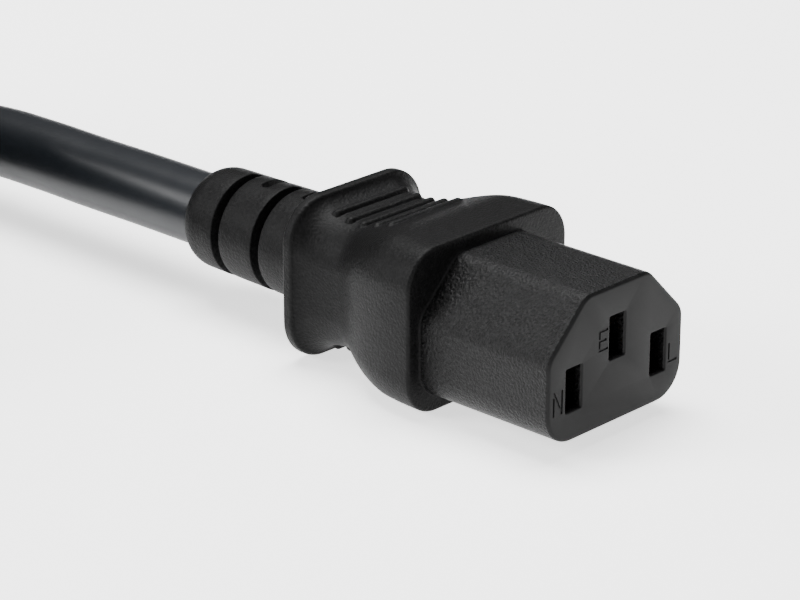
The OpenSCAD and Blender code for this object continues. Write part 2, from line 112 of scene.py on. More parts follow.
class C13Body(bpy.types.PropertyGroup):
    flange_w: length("Flange width", "Width of the flange", BODY_HIGH.y - BODY_LOW.y)
    height: length("Height", "Height of the flange and grip plate", BODY_HIGH.z - BODY_LOW.z)
    grip_w: length("Grip plate width", "Width of the grip plate", 21.6 * MM)
    waist_w: length("Waist width", "Width at the waist", 18.8 * MM)
    waist_h: length("Waist height", "Height at the waist", 15.4 * MM)
    flange_r: length("Flange radius", "Corner radius of the flange", 4.5 * MM)
    grip_r: length("Grip radius", "Corner radius of the grip plate", 5.2 * MM)
    shoulder: length("Shoulder", "From the flange's front to the waist", 15 * MM)
    rise: length("Rise", "Length over which the top rises to its full height", 10 * MM)
    throat: length("Throat", "From the waist to the grip plate", 5.4 * MM)
    rim: length("Rim", "Thickness of the grip plate's rim", 1.4 * MM)
    edge_r: length("Edge radius", "Rounding of the outer edges", 0.4 * MM)
    ribs: IntProperty(name="Ribs", description="Ribs on the top and underside", default=5, min=0)
    rib_pitch: length("Rib pitch", "Distance from rib to rib", 2.1 * MM)
    rib_w: length("Rib width", "Width of a rib", 1.1 * MM)
    rib_l: length("Rib length", "Length of a rib", 12 * MM)
    rib_proud: length("Rib height", "How far a rib stands out", 0.4 * MM)
    last_rib: length("Last rib", "From the waist back to the last rib", 3.2 * MM)


class C13Relief(bpy.types.PropertyGroup):
    root_d: length("Root diameter", "Diameter at the grip plate", 13 * MM)
    end_d: length("End diameter", "Diameter at the end collar", 12.4 * MM)
    collar: length("Collar", "Length of the plain collar", 5.7 * MM)
    end_gap: length("End gap", "From the solid's end to the collar's end", 2.3 * MM)
    slots: IntProperty(name="Slots", description="Slots from alternate sides", default=5, min=0)
    slot_w: length("Slot width", "Width of a slot along the cable", 1.3 * MM)
    pitch: length("Slot pitch", "Distance from slot to slot", 3.4 * MM)
    reach: length("Slot reach", "How far a slot reaches past the middle", 1.4 * MM)
    sleeve: length("Sleeve", "Wall left on the cable in a slot", 0.45 * MM)
    end_round: length("End rounding", "Length of the collar's rounded end", 2.5 * MM)


class C13Cable(bpy.types.PropertyGroup):
    diameter: length("Diameter", "Diameter of the cable", JACKET_HIGH.y - JACKET_LOW.y)
    length: length("Length", "Real length of the cable", 1.8)
    tie_gap: length("Tie gap", "Height of the tie under the coil", 0.8 * MM)
    tail_bend: length("Tail bend", "Radius of the cable's bend to the plug", 36 * MM)


class C13Finish(bpy.types.PropertyGroup):
    mould: colour("Overmould", "Colour of the overmould", (0.002, 0.002, 0.0021))
    housing: colour("Housing", "Colour of the front housing", (0.0028, 0.0028, 0.0029))
    cable: colour("Cable", "Colour of the cable's jacket", (0.006, 0.0072, 0.0092))
    grain: length("Grain", "Size of the moulded grain", 0.28 * MM)
    grain_height: length("Grain height", "Height of the moulded grain", 0.07 * MM)
    gloss: share("Roughness", "Roughness of the overmould", 0.5)


class C13Studio(bpy.types.PropertyGroup):
    azimuth: FloatProperty(name="Azimuth", description="Camera's turn round the object",
                           default=math.radians(43.652), subtype="ANGLE")
    elevation: FloatProperty(name="Elevation", description="Camera's height above the horizon",
                             default=math.radians(21.824), subtype="ANGLE")
    distance: length("Distance", "From the camera to what it looks at", 0.32803)
    aim: FloatVectorProperty(name="Aim", description="Point that the camera looks at",
                             default=(0.0143, -0.0146, 0.0150), size=3, subtype="XYZ")
    lens: FloatProperty(name="Lens", description="Focal length in millimetres", default=137.9)
    floor: share("Floor", "Lightness of the floor", 0.9)
    sky: FloatProperty(name="Sky", description="Strength of the even light", default=0.15, min=0)


# ---------- outlines and lofts ----------


def mix(a, b, t):
    return a + (b - a) * t


def smooth(t):
    t = np.clip(t, 0, 1)
    return t * t * (3 - 2 * t)


def turned(quarter):
    """A whole ring of [y, z] from its first quarter, which runs from +Y to +Z."""
    q = np.asarray(quarter)
    return np.concatenate([q[:-1], (q * [-1, 1])[:0:-1], -q[:-1], (q * [1, -1])[:0:-1]])


def rounded_ring(w, h, r):
    """Ring of a rounded rectangle, with more columns where the ribs end.

    The side's 10 columns, the corner's 34 and the top's 20 make up a quarter."""
    side = [(w / 2, z) for z in np.linspace(0, h / 2 - r, 10, endpoint=False)]
    turns = np.radians(np.concatenate([np.linspace(0, 60, 18, endpoint=False),
                                       np.linspace(60, 90, 16, endpoint=False)]))
    corner = [(w / 2 - r + r * math.cos(a), h / 2 - r + r * math.sin(a)) for a in turns]
    top = [(y, h / 2) for y in np.linspace(w / 2 - r, 0, 21)]
    return turned(side + corner + top)


def round_ring(radius, reach):
    """Ring of a circle whose columns stand close where the relief's slots end."""
    near = reach * np.array([1.04, 1.006, 1, 0.99, 0.955, 0.9, 0.82, 0.71, 0.61, 0.54, 0.43, 0.32,
                             0.21, 0.11, 0])
    far = np.linspace(0, math.acos(near[0] / radius), QUARTER - len(near) + 1, endpoint=False)
    y = np.concatenate([radius * np.cos(far), near])
    return turned(np.stack([y, np.sqrt(np.maximum(radius**2 - y**2, 0))], axis=1))


def corner_arc(before, corner, after, radius, steps):
    """Points of the arc that rounds one corner of an outline."""
    before, corner, after = (np.array(p, float) for p in (before, corner, after))
    u = (before - corner) / np.linalg.norm(before - corner)
    v = (after - corner) / np.linalg.norm(after - corner)
    half = math.acos(u @ v) / 2
    centre = corner + (u + v) / np.linalg.norm(u + v) * radius / math.sin(half)
    start = corner + u * radius / math.tan(half) - centre
    end = corner + v * radius / math.tan(half) - centre
    first = math.atan2(start[1], start[0])
    turn = (math.atan2(end[1], end[0]) - first + 3 * math.pi) % (2 * math.pi) - math.pi
    angles = first + turn * np.linspace(0, 1, steps + 1)
    return centre + radius * np.stack([np.cos(angles), np.sin(angles)], axis=1)


def rounded_outline(corners, radii, steps):
    """Closed outline through the corners, each rounded to its own radius."""
    n = len(corners)
    arcs = [corner_arc(corners[i - 1], corners[i], corners[(i + 1) % n], radii[i], steps)
            for i in range(n)]
    return np.concatenate(arcs)


def keyed_outline(housing, steps=14):
    """The front housing's outline, its top corners cut off, turning from +Y to +Z."""
    w, h, key = housing.width / 2, housing.height / 2, housing.chamfer
    corners = [(w, -h), (w, h - key), (w - key, h), (key - w, h), (-w, h - key), (-w, -h)]
    return rounded_outline(corners, [housing.corner_r] + [housing.key_r] * 4 + [housing.corner_r],
                           steps)


def inset(outline, distance):
    """The outline moved inwards along its normals."""
    before, after = np.roll(outline, 1, axis=0), np.roll(outline, -1, axis=0)
    first, second = outline - before, after - outline
    first = first / np.maximum(np.linalg.norm(first, axis=1, keepdims=True), 1e-12)
    second = second / np.maximum(np.linalg.norm(second, axis=1, keepdims=True), 1e-12)
    along = first + second
    along = along / np.linalg.norm(along, axis=1, keepdims=True)
    return outline - distance * np.stack([along[:, 1], -along[:, 0]], axis=1)


def cast_on(outline, ring):
    """Points of the outline in the directions of the ring's points."""
    wanted = np.arctan2(ring[:, 1], ring[:, 0])
    angle = np.arctan2(outline[:, 1], outline[:, 0])
    order = np.argsort(angle)
    angle, points = angle[order], outline[order]
    angle = np.concatenate([angle - 2 * math.pi, angle, angle + 2 * math.pi])
    points = np.concatenate([points] * 3)
    return np.stack([np.interp(wanted, angle, points[:, k]) for k in (0, 1)], axis=1)


def lay(x, ring):
    """Ring of [y, z] as points at x, which is one distance or one for each column."""
    return np.column_stack([np.broadcast_to(x, len(ring)), ring])


def tube_faces(count, rings):
    """Four-sided faces between rings of count points each."""
    i, j = np.meshgrid(np.arange(rings - 1), np.arange(count), indexing="ij")
    a, b = i * count + j, i * count + (j + 1) % count
    quads = np.stack([a, b, b + count, a + count], axis=-1).reshape(-1, 4)
    return quads.tolist()


def new_piece(name, points, faces, finish, crease):
    """Smooth piece whose edges stay sharp where they turn by more than crease degrees."""
    mesh = bpy.data.meshes.new(name)
    mesh.from_pydata([tuple(p) for p in points], [], faces)
    mesh.validate()
    mesh.shade_smooth()
    mesh.set_sharp_from_angle(angle=math.radians(crease))
    mesh.materials.append(finish)
    piece = bpy.data.objects.new(name, mesh)
    bpy.context.scene.collection.objects.link(piece)
    return piece


def loft(name, rings, place, finish, crease=38):
    """Closed piece over rings that follow each other along +X."""
    count = len(rings[0])
    points = np.concatenate(rings) + np.array(place)
    faces = tube_faces(count, len(rings))
    faces.append(list(range(count - 1, -1, -1)))
    faces.append([(len(rings) - 1) * count + j for j in range(count)])
    return new_piece(name, points, faces, finish, crease)


# ---------- finishes ----------


class Value:
    """A socket in a finish, so that shader maths reads as sums and products."""

    def __init__(self, finish, socket):
        self.finish = finish
        self.socket = socket

    def maths(self, operation, first, second):
        return self.finish.node("Math", {"operation": operation}, {0: first, 1: second})

    def __add__(self, other):
        return self.maths("ADD", self, other)

    def __sub__(self, other):
        return self.maths("SUBTRACT", self, other)

    def __rsub__(self, other):
        return self.maths("SUBTRACT", other, self)

    def __mul__(self, other):
        return self.maths("MULTIPLY", self, other)

    __radd__ = __add__
    __rmul__ = __mul__


class Finish:
    """A material with one shader, and the nodes that feed it."""

    def __init__(self, name, base, roughness, **constants):
        self.material = bpy.data.materials.new(name)
        self.material.use_nodes = True
        self.tree = self.material.node_tree
        self.tree.nodes.clear()
        self.shader = self.tree.nodes.new("ShaderNodeBsdfPrincipled")
        output = self.tree.nodes.new("ShaderNodeOutputMaterial")
        self.tree.links.new(self.shader.outputs[0], output.inputs[0])
        self.feed("Base Color", (*base, 1.0))
        self.feed("Roughness", roughness)
        for socket, value in constants.items():
            self.feed(socket.replace("_", " "), value)

    def feed(self, name, value):
        """Sets one of the shader's sockets, or links it to what changes over the surface."""
        self.put(self.shader.inputs[name], value)

    def put(self, socket, value):
        if isinstance(value, Value):
            self.tree.links.new(value.socket, socket)
        else:
            socket.default_value = value

    def node(self, kind, settings=None, inputs=None, out=0):
        """A node of a kind, its settings first and then the values or links of its sockets."""
        made = self.tree.nodes.new("ShaderNode" + kind)
        for setting, value in (settings or {}).items():
            setattr(made, setting, value)
        for socket, value in (inputs or {}).items():
            self.put(made.inputs[socket], value)
        return Value(self, made.outputs[out])

    def place(self):
        return self.node("TexCoord", out="Object")

    def along(self, axis):
        return self.node("SeparateXYZ", inputs={"Vector": self.place()}, out=axis)

    def noise(self, size, detail=3.0, rough=0.55):
        """Noise whose features are about size metres across, from 0 to 1."""
        inputs = {"Vector": self.place(), "Scale": 1 / size, "Detail": detail, "Roughness": rough}
        return self.node("TexNoise", inputs=inputs)

    def pebbles(self, size):
        """Distance to the nearest of the scattered points of a pebbled grain."""
        inputs = {"Vector": self.place(), "Scale": 1 / size}
        return self.node("TexVoronoi", {"feature": "SMOOTH_F1"}, inputs)

    def step(self, value, low, high):
        """0 below low and 1 above high."""
        inputs = {"Value": value, "From Min": low, "From Max": high}
        return self.node("MapRange", {"interpolation_type": "SMOOTHSTEP"}, inputs)

    def blend(self, mask, first, second):
        settings = {"data_type": "RGBA"}
        inputs = {0: mask, 6: (*first, 1.0), 7: (*second, 1.0)}
        return self.node("Mix", settings, inputs, out=2)

    def bump(self, height, distance, strength=1.0):
        inputs = {"Height": height, "Distance": distance, "Strength": strength}
        self.feed("Normal", self.node("Bump", inputs=inputs))


def shade(base, factor):
    """The colour made lighter or darker."""
    return tuple(min(1.0, c * factor) for c in base)


def moulded_grain(finish, settings):
    """Height of the spark-eroded grain that the mould leaves, from 0 to about 1."""
    coarse = finish.noise(settings.grain, 2.0, 0.6)
    fine = finish.noise(settings.grain * 0.42, 2.0, 0.6)
    return 0.4 * coarse + 0.25 * fine + 0.35 * finish.pebbles(settings.grain * 1.2)


def overmould_finish(settings):
    finish = Finish("overmould_pvc", settings.mould, settings.gloss, Specular_IOR_Level=0.1)
    grain = moulded_grain(finish, settings)
    # Painted highlights on the grain's crests and painted shade in its hollows: the base colour runs
    # from 0.5 to 1.6 times the overmould's colour with the grain's height.
    finish.feed("Base Color", finish.blend(finish.step(grain, 0.4, 0.64),
                                           shade(settings.mould, 0.5),
                                           shade(settings.mould, 1.6)))
    finish.feed("Roughness", settings.gloss - 0.05 + 0.1 * finish.noise(2 * MM, 2.0))
    finish.bump(grain, settings.grain_height * 2)
    return finish.material


def housing_finish(settings):
    """Grained sides with painted highlights on the grain's crests and painted shade in its hollows,
    and a smooth, paler front face.
    """
    finish = Finish("housing_nylon", settings.housing, 0.4, Specular_IOR_Level=0.14)
    face = finish.step(finish.along("X"), FACE_X - 0.35 * MM, FACE_X - 0.1 * MM)
    grain = moulded_grain(finish, settings)
    # Painted highlights on the grain's crests and painted shade in its hollows, kept off the front
    # face: the base colour runs from 0.3 to 2.4 times the housing's colour.
    painted_crest_light = finish.step(grain, 0.42, 0.62)
    lightness = 0.1 * face + (1 - face) * painted_crest_light
    finish.feed("Base Color", finish.blend(lightness, shade(settings.housing, 0.3),
                                           shade(settings.housing, 2.4)))
    finish.feed("Roughness", 0.38 + 0.16 * face)
    finish.bump((1 - face) * grain, settings.grain_height * 4)
    return finish.material


def cable_finish(settings):
    finish = Finish("cable_jacket_pvc", settings.cable, 0.36, Specular_IOR_Level=0.28)
    scuffs = finish.noise(3 * MM, 3.0)
    finish.feed("Roughness", 0.32 + 0.09 * scuffs)
    finish.bump(finish.noise(1.6 * MM, 2.0), 0.008 * MM)
    return finish.material


def plain_finish(name, base, roughness, grain, height, **constants):
    """A finish with faint patches and a fine grain of its own."""
    finish = Finish(name, base, roughness, **constants)
    patches = finish.noise(grain * 8, 2.0)
    finish.feed("Base Color", finish.blend(patches, shade(base, 0.9), shade(base, 1.08)))
    finish.feed("Roughness", roughness - 0.04 + 0.08 * patches)
    finish.bump(finish.noise(grain, 2.0), height)
    return finish.material


def tie_finish():
    """Hook-and-loop tape: a weave of fine loops."""
    finish = Finish("tie_tape", (0.012, 0.012, 0.012), 0.85, Sheen_Weight=0.3)
    finish.bump(finish.pebbles(0.5 * MM), 0.15 * MM)
    return finish.material


# ---------- overmould ----------


def relief_lines(relief, x_back, x_front, radius):
    """Rings over the strain relief: a plain ring between slots, fourteen across each slot.

    A slot's rings part where the slot is cut, and lie close together on the wall left uncut."""
    floor_r = JACKET_HIGH.y + relief.sleeve
    top_round, floor_round, least = 0.12 * MM, 0.15 * MM, 0.05 * MM
    turns = np.radians([0, 30, 60, 90])
    falls = [(1 - math.sin(a), 1 - math.cos(a)) for a in turns]
    rings = []
    first = x_back + relief.collar + relief.slot_w / 2
    for i in range(relief.slots):
        centre = first + i * relief.pitch
        side = -1 if i % 2 == 0 else 1
        outer = round_ring(radius(centre), relief.reach)
        inner = round_ring(floor_r, relief.reach)
        reached = side * outer[:, 0] + relief.reach
        half = relief.slot_w / 2
        tip = np.clip(half - reached, 0, half)
        width = np.sqrt(np.maximum(half**2 - tip**2, 0))
        cut = reached > 0.001 * MM
        width = np.where(cut, np.maximum(width, least), least)
        lines = [(top_round * f, d * top_round) for f, d in falls]
        depth = radius(centre) - floor_r
        lines += [(-floor_round * (1 - f), depth - floor_round * (1 - d)) for f, d in
                  [(1, 0), (0.5, 0.87), (0, 1)]]
        across = [(s, out, fall) for s, group in ((-1, lines), (1, lines[::-1]))
                  for out, fall in group]
        tip_half = least + top_round
        for k, (s, out, fall) in enumerate(across):
            offset = np.maximum(width + out, 0.01 * MM + 0.002 * MM * (6 - min(k, 13 - k)))
            plain = tip_half * (2 * (k + 0.5) / len(across) - 1)
            x = centre + np.where(cut, s * offset, plain)
            sunk = np.where(cut, fall / depth, 0)[:, None]
            rings.append(lay(x, mix(outer, inner, sunk)))
        if i + 1 < relief.slots:
            x = centre + relief.pitch / 2
            rings.append(lay(x, round_ring(radius(x), relief.reach)))
    return rings


def relief_rings(body, relief, x_back, x_front):
    """The strain relief from its rounded end to the grip plate."""
    end_r, root_r = relief.end_d / 2, relief.root_d / 2
    lip_clear = 0.1 * MM
    lip = end_r - JACKET_HIGH.y - lip_clear

    def radius(x):
        return mix(end_r, root_r, (x - x_back - relief.end_round)
                   / (x_front - x_back - relief.end_round))

    rings = [lay(x_back + 0.5 * MM, round_ring(JACKET_HIGH.y - 0.4 * MM, relief.reach))]
    for a in np.radians(np.linspace(90, 0, 13)):
        x = x_back + relief.end_round * (1 - math.sin(a))
        rings.append(lay(x, round_ring(end_r - lip * (1 - math.cos(a)), relief.reach)))
    plain_x = x_back + (relief.end_round + relief.collar) / 2
    rings.append(lay(plain_x, round_ring(radius(plain_x), relief.reach)))
    rings += relief_lines(relief, x_back, x_front, radius)
    root = 0.5 * MM
    for a in np.radians([0, 22, 45, 67, 90]):
        ring = round_ring(root_r + root * (1 - math.cos(a)), relief.reach)
        rings.append(lay(x_front - root * (1 - math.sin(a)), ring))
    return rings


class BodyForm:
    """Width, height and corner radius of the body at each distance along X."""

    def __init__(self, body, flange_x, edge):
        self.body = body
        waist_pull, flange_pull = 0.22, 0.74
        waist = flange_x - body.shoulder
        self.waist = waist
        self.rim_front = waist - body.throat
        a = np.linspace(0, math.pi / 2, 60)
        throat = [self.rim_front + body.throat * (1 - np.cos(a)),
                  mix(body.grip_w, body.waist_w, np.sin(a)),
                  mix(body.height, body.waist_h, np.sin(a))]
        t = np.linspace(0, 1, 200)[1:]
        ends = [waist, waist + waist_pull * body.shoulder, flange_x - flange_pull * body.shoulder,
                flange_x - edge]
        x = (ends[0] * (1 - t)**3 + 3 * ends[1] * t * (1 - t)**2 + 3 * ends[2] * t**2 * (1 - t)
             + ends[3] * t**3)
        shoulder = [x, mix(body.waist_w, body.flange_w, smooth(t)),
                    mix(body.waist_h, body.height, smooth((x - waist) / body.rise))]
        self.x, self.w, self.h = (np.concatenate(pair) for pair in zip(throat, shoulder))
        self.flange_x = flange_x

    def size(self, x):
        body = self.body
        r = mix(body.grip_r, body.flange_r,
                np.clip((x - self.rim_front) / (self.flange_x - self.rim_front), 0, 1))
        return np.interp(x, self.x, self.w), np.interp(x, self.x, self.h), r

    def ring(self, x, less=0.0):
        w, h, r = self.size(x)
        return rounded_ring(w - 2 * less, h - 2 * less, r - less)


def add_ribs(rings, form):
    """Raises the ribs: bars laid across the body, sunk so that only their crowns stand out."""
    body = form.body
    half, span = body.rib_w / 2, body.rib_l / 2 - body.rib_w / 2
    for i in range(body.ribs):
        rib_x = form.waist - body.last_rib + i * body.rib_pitch
        crown = form.size(rib_x)[1] / 2 + body.rib_proud
        for ring in rings:
            beyond = np.maximum(np.abs(ring[:, 1]) - span, 0)
            off = np.hypot(ring[:, 0] - rib_x, beyond)
            z = crown - half + np.sqrt(np.maximum(half**2 - off**2, 0))
            rise = np.where(off < half, z - np.abs(ring[:, 2]), 0)
            soft = 0.06 * MM
            rise = np.where(rise > -soft, (rise + np.hypot(rise, soft)) / 2, 0)
            rise = rise * smooth((half * 1.15 - off) / (half * 0.3))
            ring[:, 2] += np.sign(ring[:, 2]) * rise


def body_rings(housing, body, relief):
    """The body from the grip plate's back to the pocket that holds the front housing."""
    flange_x, edge = -housing.reach, body.edge_r
    form = BodyForm(body, flange_x, edge)
    plate_back = form.rim_front - body.rim
    turns = np.radians(np.linspace(0, 90, 7))
    grip = rounded_ring(body.grip_w - 2 * edge, body.height - 2 * edge, body.grip_r - edge)
    root = round_ring(relief.root_d / 2 + 0.5 * MM, relief.reach)
    rings = [lay(plate_back, mix(root, grip, t)) for t in (0.25, 0.5, 0.75)]
    for a in turns[::-1]:
        less = edge * (1 - math.cos(a))
        ring = rounded_ring(body.grip_w - 2 * less, body.height - 2 * less, body.grip_r - less)
        rings.append(lay(plate_back + edge * (1 - math.sin(a)), ring))
    # The rim's edge runs into the hollow over the hollow's first fifth.
    fall = 0.2
    bend_x = body.throat * (1 - math.sqrt(1 - fall**2))
    for t in np.linspace(0, 1, 7):
        x = form.rim_front - edge * (1 - t)**2 + bend_x * t**2
        down = fall * t * t
        rings.append(lay(x, rounded_ring(mix(body.grip_w, body.waist_w, down),
                                         mix(body.height, body.waist_h, down), body.grip_r)))
    half_across = np.array([0.11, 0.22, 0.33, 0.42, 0.48, 0.53, 0.6, 0.72])
    across = body.rib_w * np.concatenate([-half_across[::-1], [0], half_across])
    ribs = [form.waist - body.last_rib + i * body.rib_pitch for i in range(body.ribs)]
    places = [form.rim_front + body.throat * (1 - math.cos(a))
              for a in np.radians(np.linspace(14, 90, 16))]
    places += list(np.linspace(form.waist + 0.4 * MM, flange_x - edge, 34))
    places = [x for x in places if all(abs(x - rib) > 0.78 * body.rib_w for rib in ribs)]
    places += [rib + step for rib in ribs for step in across]
    places = sorted(x for x in places if x > form.rim_front + 1.3 * bend_x)
    shoulder = [lay(x, form.ring(x)) for x in places]
    add_ribs(shoulder, form)
    rings += shoulder
    for a in turns[1:]:
        less = edge * (1 - math.cos(a))
        rings.append(lay(flange_x - edge * (1 - math.sin(a)), form.ring(flange_x - edge, less)))
    # The flange's front ends in a small bead, then turns in behind the housing's surface.
    front = form.ring(flange_x - edge, edge)
    keyed = keyed_outline(housing)
    lip = cast_on(inset(keyed, -0.3 * MM), front)
    rings += [lay(flange_x, mix(front, lip, t)) for t in (0.5, 1)]
    rings.append(lay(flange_x + 0.04 * MM, cast_on(inset(keyed, -0.18 * MM), front)))
    rings.append(lay(flange_x + 0.16 * MM, cast_on(inset(keyed, -0.02 * MM), front)))
    rings.append(lay(flange_x + 0.1 * MM, cast_on(inset(keyed, 0.3 * MM), front)))
    return rings, plate_back


class C13_OT_overmould(bpy.types.Operator):
    """Makes the overmould's skin, from the flange to the end of the strain relief"""
    bl_idname = "c13.overmould"
    bl_label = "Overmould"

    def execute(self, context):
        scene = context.scene
        body, relief = scene.c13_body, scene.c13_relief
        front, plate_back = body_rings(scene.c13_housing, body, relief)
        back = relief_rings(body, relief, BODY_LOW.x - FACE_X + relief.end_gap, plate_back)
        finish = overmould_finish(scene.c13_finish)
        skin = loft("overmould_skin", back + front, (FACE_X, 0, AXIS_Z), finish)
        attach(skin, "root")
        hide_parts("overmould")
        return {"FINISHED"}


# ---------- front housing ----------


def mark_outlines(line):
    """Outlines of the pole marks, each with its lower left corner, width and height."""
    def neutral(w, h):
        s = line * 1.25
        return [(0, 0), (line, 0), (line, h - 2 * s), (w - line, 0), (w, 0), (w, h), (w - line, h),
                (w - line, 2 * s), (line, h), (0, h)]

    def earth(w, h):
        low, high = h / 2 - line / 2, h / 2 + line / 2
        return [(0, 0), (w, 0), (w, line), (line, line), (line, low), (w * 0.85, low),
                (w * 0.85, high), (line, high), (line, h - line), (w, h - line), (w, h), (0, h)]

    def live(w, h):
        return [(0, 0), (w, 0), (w, line), (line, line), (line, h), (0, h)]

    places = [(neutral, -10.4, -4.3, 1.6, 2.8), (earth, -3.1, 0.95, 1.5, 2.45),
              (live, 8.75, -3.85, 1.55, 2.3)]
    return [np.array(draw(w * MM, h * MM)) + np.array([y * MM, z * MM])
            for draw, y, z, w, h in places]


def fill(mesh, loops, toward):
    """Flat face between an outline and the holes in it, facing along X."""
    edges = []
    for verts in loops:
        for i, vert in enumerate(verts):
            pair = (vert, verts[(i + 1) % len(verts)])
            edges.append(mesh.edges.get(pair) or mesh.edges.new(pair))
    bmesh.ops.triangle_fill(mesh, use_beauty=True, use_dissolve=False, edges=edges,
                            normal=(toward, 0, 0))


def bridge(mesh, first, second):
    """Faces between two loops with the same number of points."""
    n = len(first)
    for i in range(n):
        j = (i + 1) % n
        mesh.faces.new((first[i], first[j], second[j], second[i]))


def housing_mesh(housing):
    mesh = bmesh.new()

    def loop(x, outline):
        return [mesh.verts.new((FACE_X + x, y, AXIS_Z + z)) for y, z in outline]

    keyed = keyed_outline(housing)
    back = -housing.reach - housing.root
    shell = [loop(back, keyed), loop(-housing.reach, keyed), loop(-housing.rim_r, keyed)]
    for a in np.radians(np.linspace(15, 90, 6)):
        shell.append(loop(-housing.rim_r * (1 - math.sin(a)),
                          inset(keyed, housing.rim_r * (1 - math.cos(a)))))
    for first, second in zip(shell, shell[1:]):
        bridge(mesh, first, second)
    front, rear = [shell[-1]], [shell[0]]
    for name in ("line_slot", "neutral_slot", "earth_slot"):
        middle = np.array([MOUNTS[name].y, MOUNTS[name].z - AXIS_Z])

        def slot(x, w, h, r):
            box = [(-w, -h), (w, -h), (w, h), (-w, h)]
            return loop(x, rounded_outline(np.array(box) / 2, [r] * 4, 5) + middle)

        w, h, lead = housing.slot_w, housing.slot_h, housing.lead_in
        rings = [slot(-lead * (1 - math.cos(a)), w + 2 * lead * (1 - math.sin(a)),
                      h + 2 * lead * (1 - math.sin(a)), 0.18 * MM + lead * (1 - math.sin(a)))
                 for a in np.radians(np.linspace(0, 90, 5))]
        rings.append(slot(-housing.wall, w, h, 0.18 * MM))
        for x in (-housing.wall, back):
            rings.append(slot(x, housing.chamber_w, housing.chamber_h, 0.3 * MM))
        for first, second in zip(rings, rings[1:]):
            bridge(mesh, first, second)
        front.append(rings[0])
        rear.append(rings[-1])
    for outline in mark_outlines(housing.mark_line):
        top, floor = loop(0, outline), loop(-housing.mark_depth, outline)
        bridge(mesh, top, floor)
        fill(mesh, [floor], 1)
        front.append(top)
    fill(mesh, front, 1)
    fill(mesh, rear, -1)
    bmesh.ops.recalc_face_normals(mesh, faces=mesh.faces)
    return mesh


class C13_OT_housing(bpy.types.Operator):
    """Makes the keyed front housing with its slots and pole marks"""
    bl_idname = "c13.housing"
    bl_label = "Front housing"

    def execute(self, context):
        scene = context.scene
        made = housing_mesh(scene.c13_housing)
        mesh = bpy.data.meshes.new("keyed_housing")
        made.to_mesh(mesh)
        made.free()
        mesh.shade_smooth()
        mesh.set_sharp_from_angle(angle=math.radians(32))
        mesh.materials.append(housing_finish(scene.c13_finish))
        piece = bpy.data.objects.new("keyed_housing", mesh)
        scene.collection.objects.link(piece)
        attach(piece, "root")
        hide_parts("nose_housing")
        return {"FINISHED"}


# ---------- cable ----------


def coil_points(cable):
    """Five turns round the coil, three going in below and two going out above them, then the tail.

    Seen from above they run anticlockwise from the back of the coil. In the last third of each
    turn every strand moves over by one place."""
    d = cable.diameter
    middle = Vector(((COIL_LOW.x + COIL_HIGH.x) / 2, (COIL_LOW.y + COIL_HIGH.y) / 2))
    mean = (COIL_HIGH.x - COIL_LOW.x) / 2 - 1.5 * d
    layer = d * math.sin(math.radians(60))
    low = cable.tie_gap + d / 2
    places = [(mean + d, low), (mean, low), (mean - d, low), (mean - d / 2, low + layer),
              (mean + d / 2, low + layer), (mean, low + 2 * layer)]
    climbs = {2: -1, 4: 1}
    move_from, move_over, swing = 235, 125, 0.42 * d
    points = []
    for turn in range(5):
        (r0, z0), (r1, z1) = places[turn], places[turn + 1]
        for step in range(24):
            t = np.clip((step * 15 - move_from) / move_over, 0, 1)
            r, z = mix(r0, r1, smooth(t)), z0
            if turn in climbs:
                r += climbs[turn] * swing * math.sin(math.pi * t)
                z = z0 + d * smooth(t / 0.75) - (z0 + d - z1) * smooth((t - 0.75) / 0.25)
            points.append((math.radians(90 + turn * 360 + step * 15), r, z))
    points += [(math.radians(a), mean, places[5][1]) for a in (90, 106, 122, 138, 154, 168)]
    route = [(middle.x + r * math.cos(a), middle.y + r * math.sin(a), z) for a, r, z in points]
    bend = cable.tail_bend
    x, y = middle.x - mean + bend, middle.y - mean + bend
    route.append((middle.x - mean, middle.y, places[5][1]))
    for a in range(180, 271, 15):
        z = mix(places[5][1], PLUG_MIDDLE.z, smooth((a - 180) / 75))
        route.append((x + bend * math.cos(math.radians(a)), y + bend * math.sin(math.radians(a)), z))
    return route


def cable_route(cable):
    """The cable's way from the strain relief, round the coil and on to the plug, in metres."""
    lead = [(-0.0325, 0, 0.0097), (-0.042, 0, 0.0097), (-0.052, 0, 0.0096), (-0.062, 0, 0.0096),
            (-0.0713, 0, 0.0093), (-0.08, 0, 0.0082), (-0.0885, 0, 0.0068)]
    return lead + coil_points(cable) + [(PLUG_LOW.x, PLUG_MIDDLE.y, PLUG_MIDDLE.z)]


class C13_OT_cable(bpy.types.Operator):
    """Lays the cable along its whole route, coiled over the tie"""
    bl_idname = "c13.cable"
    bl_label = "Cable"

    def execute(self, context):
        scene = context.scene
        cable = scene.c13_cable
        route = cable_route(cable)
        curve = bpy.data.curves.new("mains_cable", "CURVE")
        curve.dimensions = "3D"
        curve.bevel_depth = cable.diameter / 2
        curve.bevel_resolution = 10
        curve.resolution_u = 6
        curve.use_fill_caps = True
        spline = curve.splines.new("BEZIER")
        spline.bezier_points.add(len(route) - 1)
        for knot, point in zip(spline.bezier_points, route):
            knot.co = point
            knot.handle_left_type = knot.handle_right_type = "AUTO"
        curve.materials.append(cable_finish(scene.c13_finish))
        piece = bpy.data.objects.new("mains_cable", curve)
        scene.collection.objects.link(piece)
        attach(piece, "root")
        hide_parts("cable_lead", "cable_coil", "cable_tail")
        return {"FINISHED"}


# ---------- plug ----------


